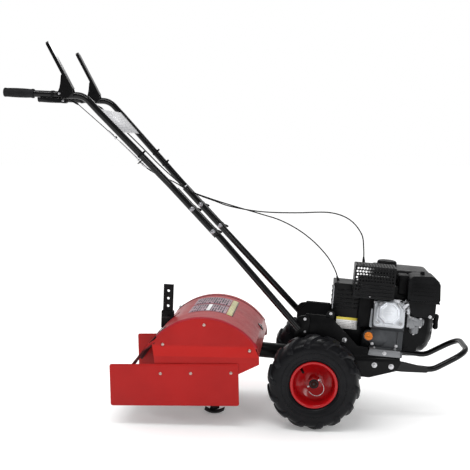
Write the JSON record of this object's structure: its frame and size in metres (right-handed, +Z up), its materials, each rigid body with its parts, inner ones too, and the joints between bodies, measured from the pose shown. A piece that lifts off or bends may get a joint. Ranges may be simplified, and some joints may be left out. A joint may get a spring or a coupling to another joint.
{
  "type": "rear-tine rotary tiller",
  "caption": "Walk-behind petrol rear-tine tiller: engine over driven pneumatic wheels, red tine hood with side boards, rear flap and depth stake, long folding handlebar with squeeze levers.",
  "frame": {"origin": "on the ground, at the middle of the overall length and width", "axes": "+X towards the engine end and bumper (direction of travel), +Y to the operator's left, +Z up"},
  "size_m": [1.7275, 0.573, 1.4139],
  "materials": {
    "black_frame_paint": "gloss black powder coat",
    "red_paint": "gloss red powder coat on pressed sheet",
    "rim_red_paint": "gloss red paint on pressed rim",
    "tyre_rubber": "moulded black tyre rubber",
    "dark_casting": "dark grey painted casting",
    "engine_casting": "dark grey painted die casting",
    "bright_casting": "silver painted die casting",
    "zinc_steel": "zinc plated steel",
    "dark_steel": "black oxide steel",
    "black_plastic": "black moulded plastic",
    "tank_plastic": "black painted tank",
    "grip_rubber": "soft black rubber",
    "cable_jacket": "black cable sheath",
    "panel_grey": "light grey printed panel",
    "orange_plastic": "orange moulded plastic"
  },
  "bodies": {
    "machine": {"frame_side_right": "black_frame_paint", "frame_side_left": "black_frame_paint", "engine_deck": "black_frame_paint", "frame_top_plate": "black_frame_paint", "front_bumper": "black_frame_paint", "gearbox_housing": "dark_casting", "drive_boom": "black_frame_paint", "tine_gearcase": "dark_casting", "belt_cover": "black_frame_paint", "crankcase": "engine_casting", "cylinder_head": "bright_casting", "rocker_cover": "bright_casting", "carburettor": "bright_casting", "air_cleaner": "black_plastic", "fuel_tank": "tank_plastic", "muffler_guard": "black_frame_paint", "fan_housing": "black_plastic", "hood_top": "red_paint", "hood_side_right": "red_paint", "hood_side_left": "red_paint", "side_board_right": "red_paint", "side_board_left": "red_paint", "stake_bracket": "black_frame_paint", "handle_lower_right": "black_frame_paint", "handle_lower_left": "black_frame_paint", "drive_belt": "grip_rubber", "clutch_cable": "cable_jacket", "throttle_cable": "cable_jacket"},
    "wheels": {"axle_shaft": "zinc_steel", "rim_right": "rim_red_paint", "rim_left": "rim_red_paint", "tyre_right": "tyre_rubber", "tyre_left": "tyre_rubber", "lock_pin_right": "zinc_steel", "lock_pin_left": "zinc_steel"},
    "rotor": {"tine_shaft": "zinc_steel", "tines_inner_right": "dark_steel", "tines_inner_left": "dark_steel", "tines_outer_right": "dark_steel", "tines_outer_left": "dark_steel"},
    "worm_shaft": {"drive_shaft": "zinc_steel", "driven_pulley": "dark_steel"},
    "crank": {"crankshaft": "zinc_steel", "engine_pulley": "dark_steel"},
    "handlebar": {"handle_upper_right": "black_frame_paint", "handle_upper_left": "black_frame_paint", "grip_right": "grip_rubber", "grip_left": "grip_rubber", "instruction_panel": "panel_grey", "cable_bracket": "black_frame_paint"},
    "clutch_lever": {"lever_right": "black_frame_paint"},
    "throttle_lever": {"lever_left": "black_frame_paint"},
    "latch_lever": {"under_lever": "black_plastic"},
    "flap": {"rear_flap": "red_paint"},
    "stake": {"depth_stake": "dark_steel"},
    "starter": {"starter_grip": "black_plastic"},
    "tank_cap": {"fuel_cap": "black_plastic"},
    "oil_plug": {"oil_cap": "orange_plastic"}
  },
  "joints": [
    {"name": "wheel_axle_turn", "type": "hinge", "parent": "machine", "child": "wheels", "pos_m": [0.2825, 0, 0.172], "axis": [0, 1, 0], "continuous": true},
    {"name": "tine_rotor_turn", "type": "hinge", "parent": "machine", "child": "rotor", "pos_m": [-0.1125, 0, 0.175], "axis": [0, 1, 0], "continuous": true},
    {"name": "drive_shaft_turn", "type": "hinge", "parent": "machine", "child": "worm_shaft", "pos_m": [0.28619, 0, 0.21886], "axis": [0.9969, 0, -0.0785], "continuous": true},
    {"name": "crankshaft_turn", "type": "hinge", "parent": "machine", "child": "crank", "pos_m": [0.29858, 0, 0.37637], "axis": [0.9969, 0, -0.0785], "continuous": true},
    {"name": "handlebar_fold", "type": "hinge", "parent": "machine", "child": "handlebar", "pos_m": [-0.0975, 0, 0.713], "axis": [0, 1, 0], "range_deg": [0, 125], "deforming": ["clutch_cable", "throttle_cable"]},
    {"name": "clutch_lever_squeeze", "type": "hinge", "parent": "handlebar", "child": "clutch_lever", "pos_m": [-0.6515, -0.204, 1.2205], "axis": [0, 1, 0], "range_deg": [-55, 0], "stiffness_Nm_per_rad": 2, "springref_deg": 14.32},
    {"name": "throttle_lever_squeeze", "type": "hinge", "parent": "handlebar", "child": "throttle_lever", "pos_m": [-0.6515, 0.204, 1.2205], "axis": [0, 1, 0], "range_deg": [-55, 0], "stiffness_Nm_per_rad": 2, "springref_deg": 14.32},
    {"name": "latch_lever_tilt", "type": "hinge", "parent": "handlebar", "child": "latch_lever", "pos_m": [-0.6395, -0.204, 1.1945], "axis": [0, 1, 0], "range_deg": [-15, 0], "stiffness_Nm_per_rad": 0.4, "springref_deg": 11.46},
    {"name": "rear_flap_lift", "type": "hinge", "parent": "machine", "child": "flap", "pos_m": [-0.3035, 0, 0.312], "axis": [0, 1, 0], "range_deg": [0, 60]},
    {"name": "depth_stake_slide", "type": "slide", "parent": "machine", "child": "stake", "axis": [0.0419, 0, 0.9991], "range_m": [-0.04, 0.09]},
    {"name": "starter_pull", "type": "slide", "parent": "machine", "child": "starter", "axis": [0.9969, 0, -0.0785], "range_m": [0, 0.06], "stiffness_N_per_m": 60, "springref_m": -0.05},
    {"name": "fuel_cap_turn", "type": "hinge", "parent": "machine", "child": "tank_cap", "pos_m": [0.56208, 0.065, 0.56357], "axis": [0.0785, 0, 0.9969], "range_deg": [0, 90]},
    {"name": "oil_cap_turn", "type": "hinge", "parent": "machine", "child": "oil_plug", "pos_m": [0.48494, -0.1153, 0.32258], "axis": [0, -1, 0], "range_deg": [0, 180]}
  ],
  "couplings": [
    {"joint": "tine_rotor_turn", "follows": "wheel_axle_turn", "ratio": 6},
    {"joint": "drive_shaft_turn", "follows": "wheel_axle_turn", "ratio": 24}
  ]
}
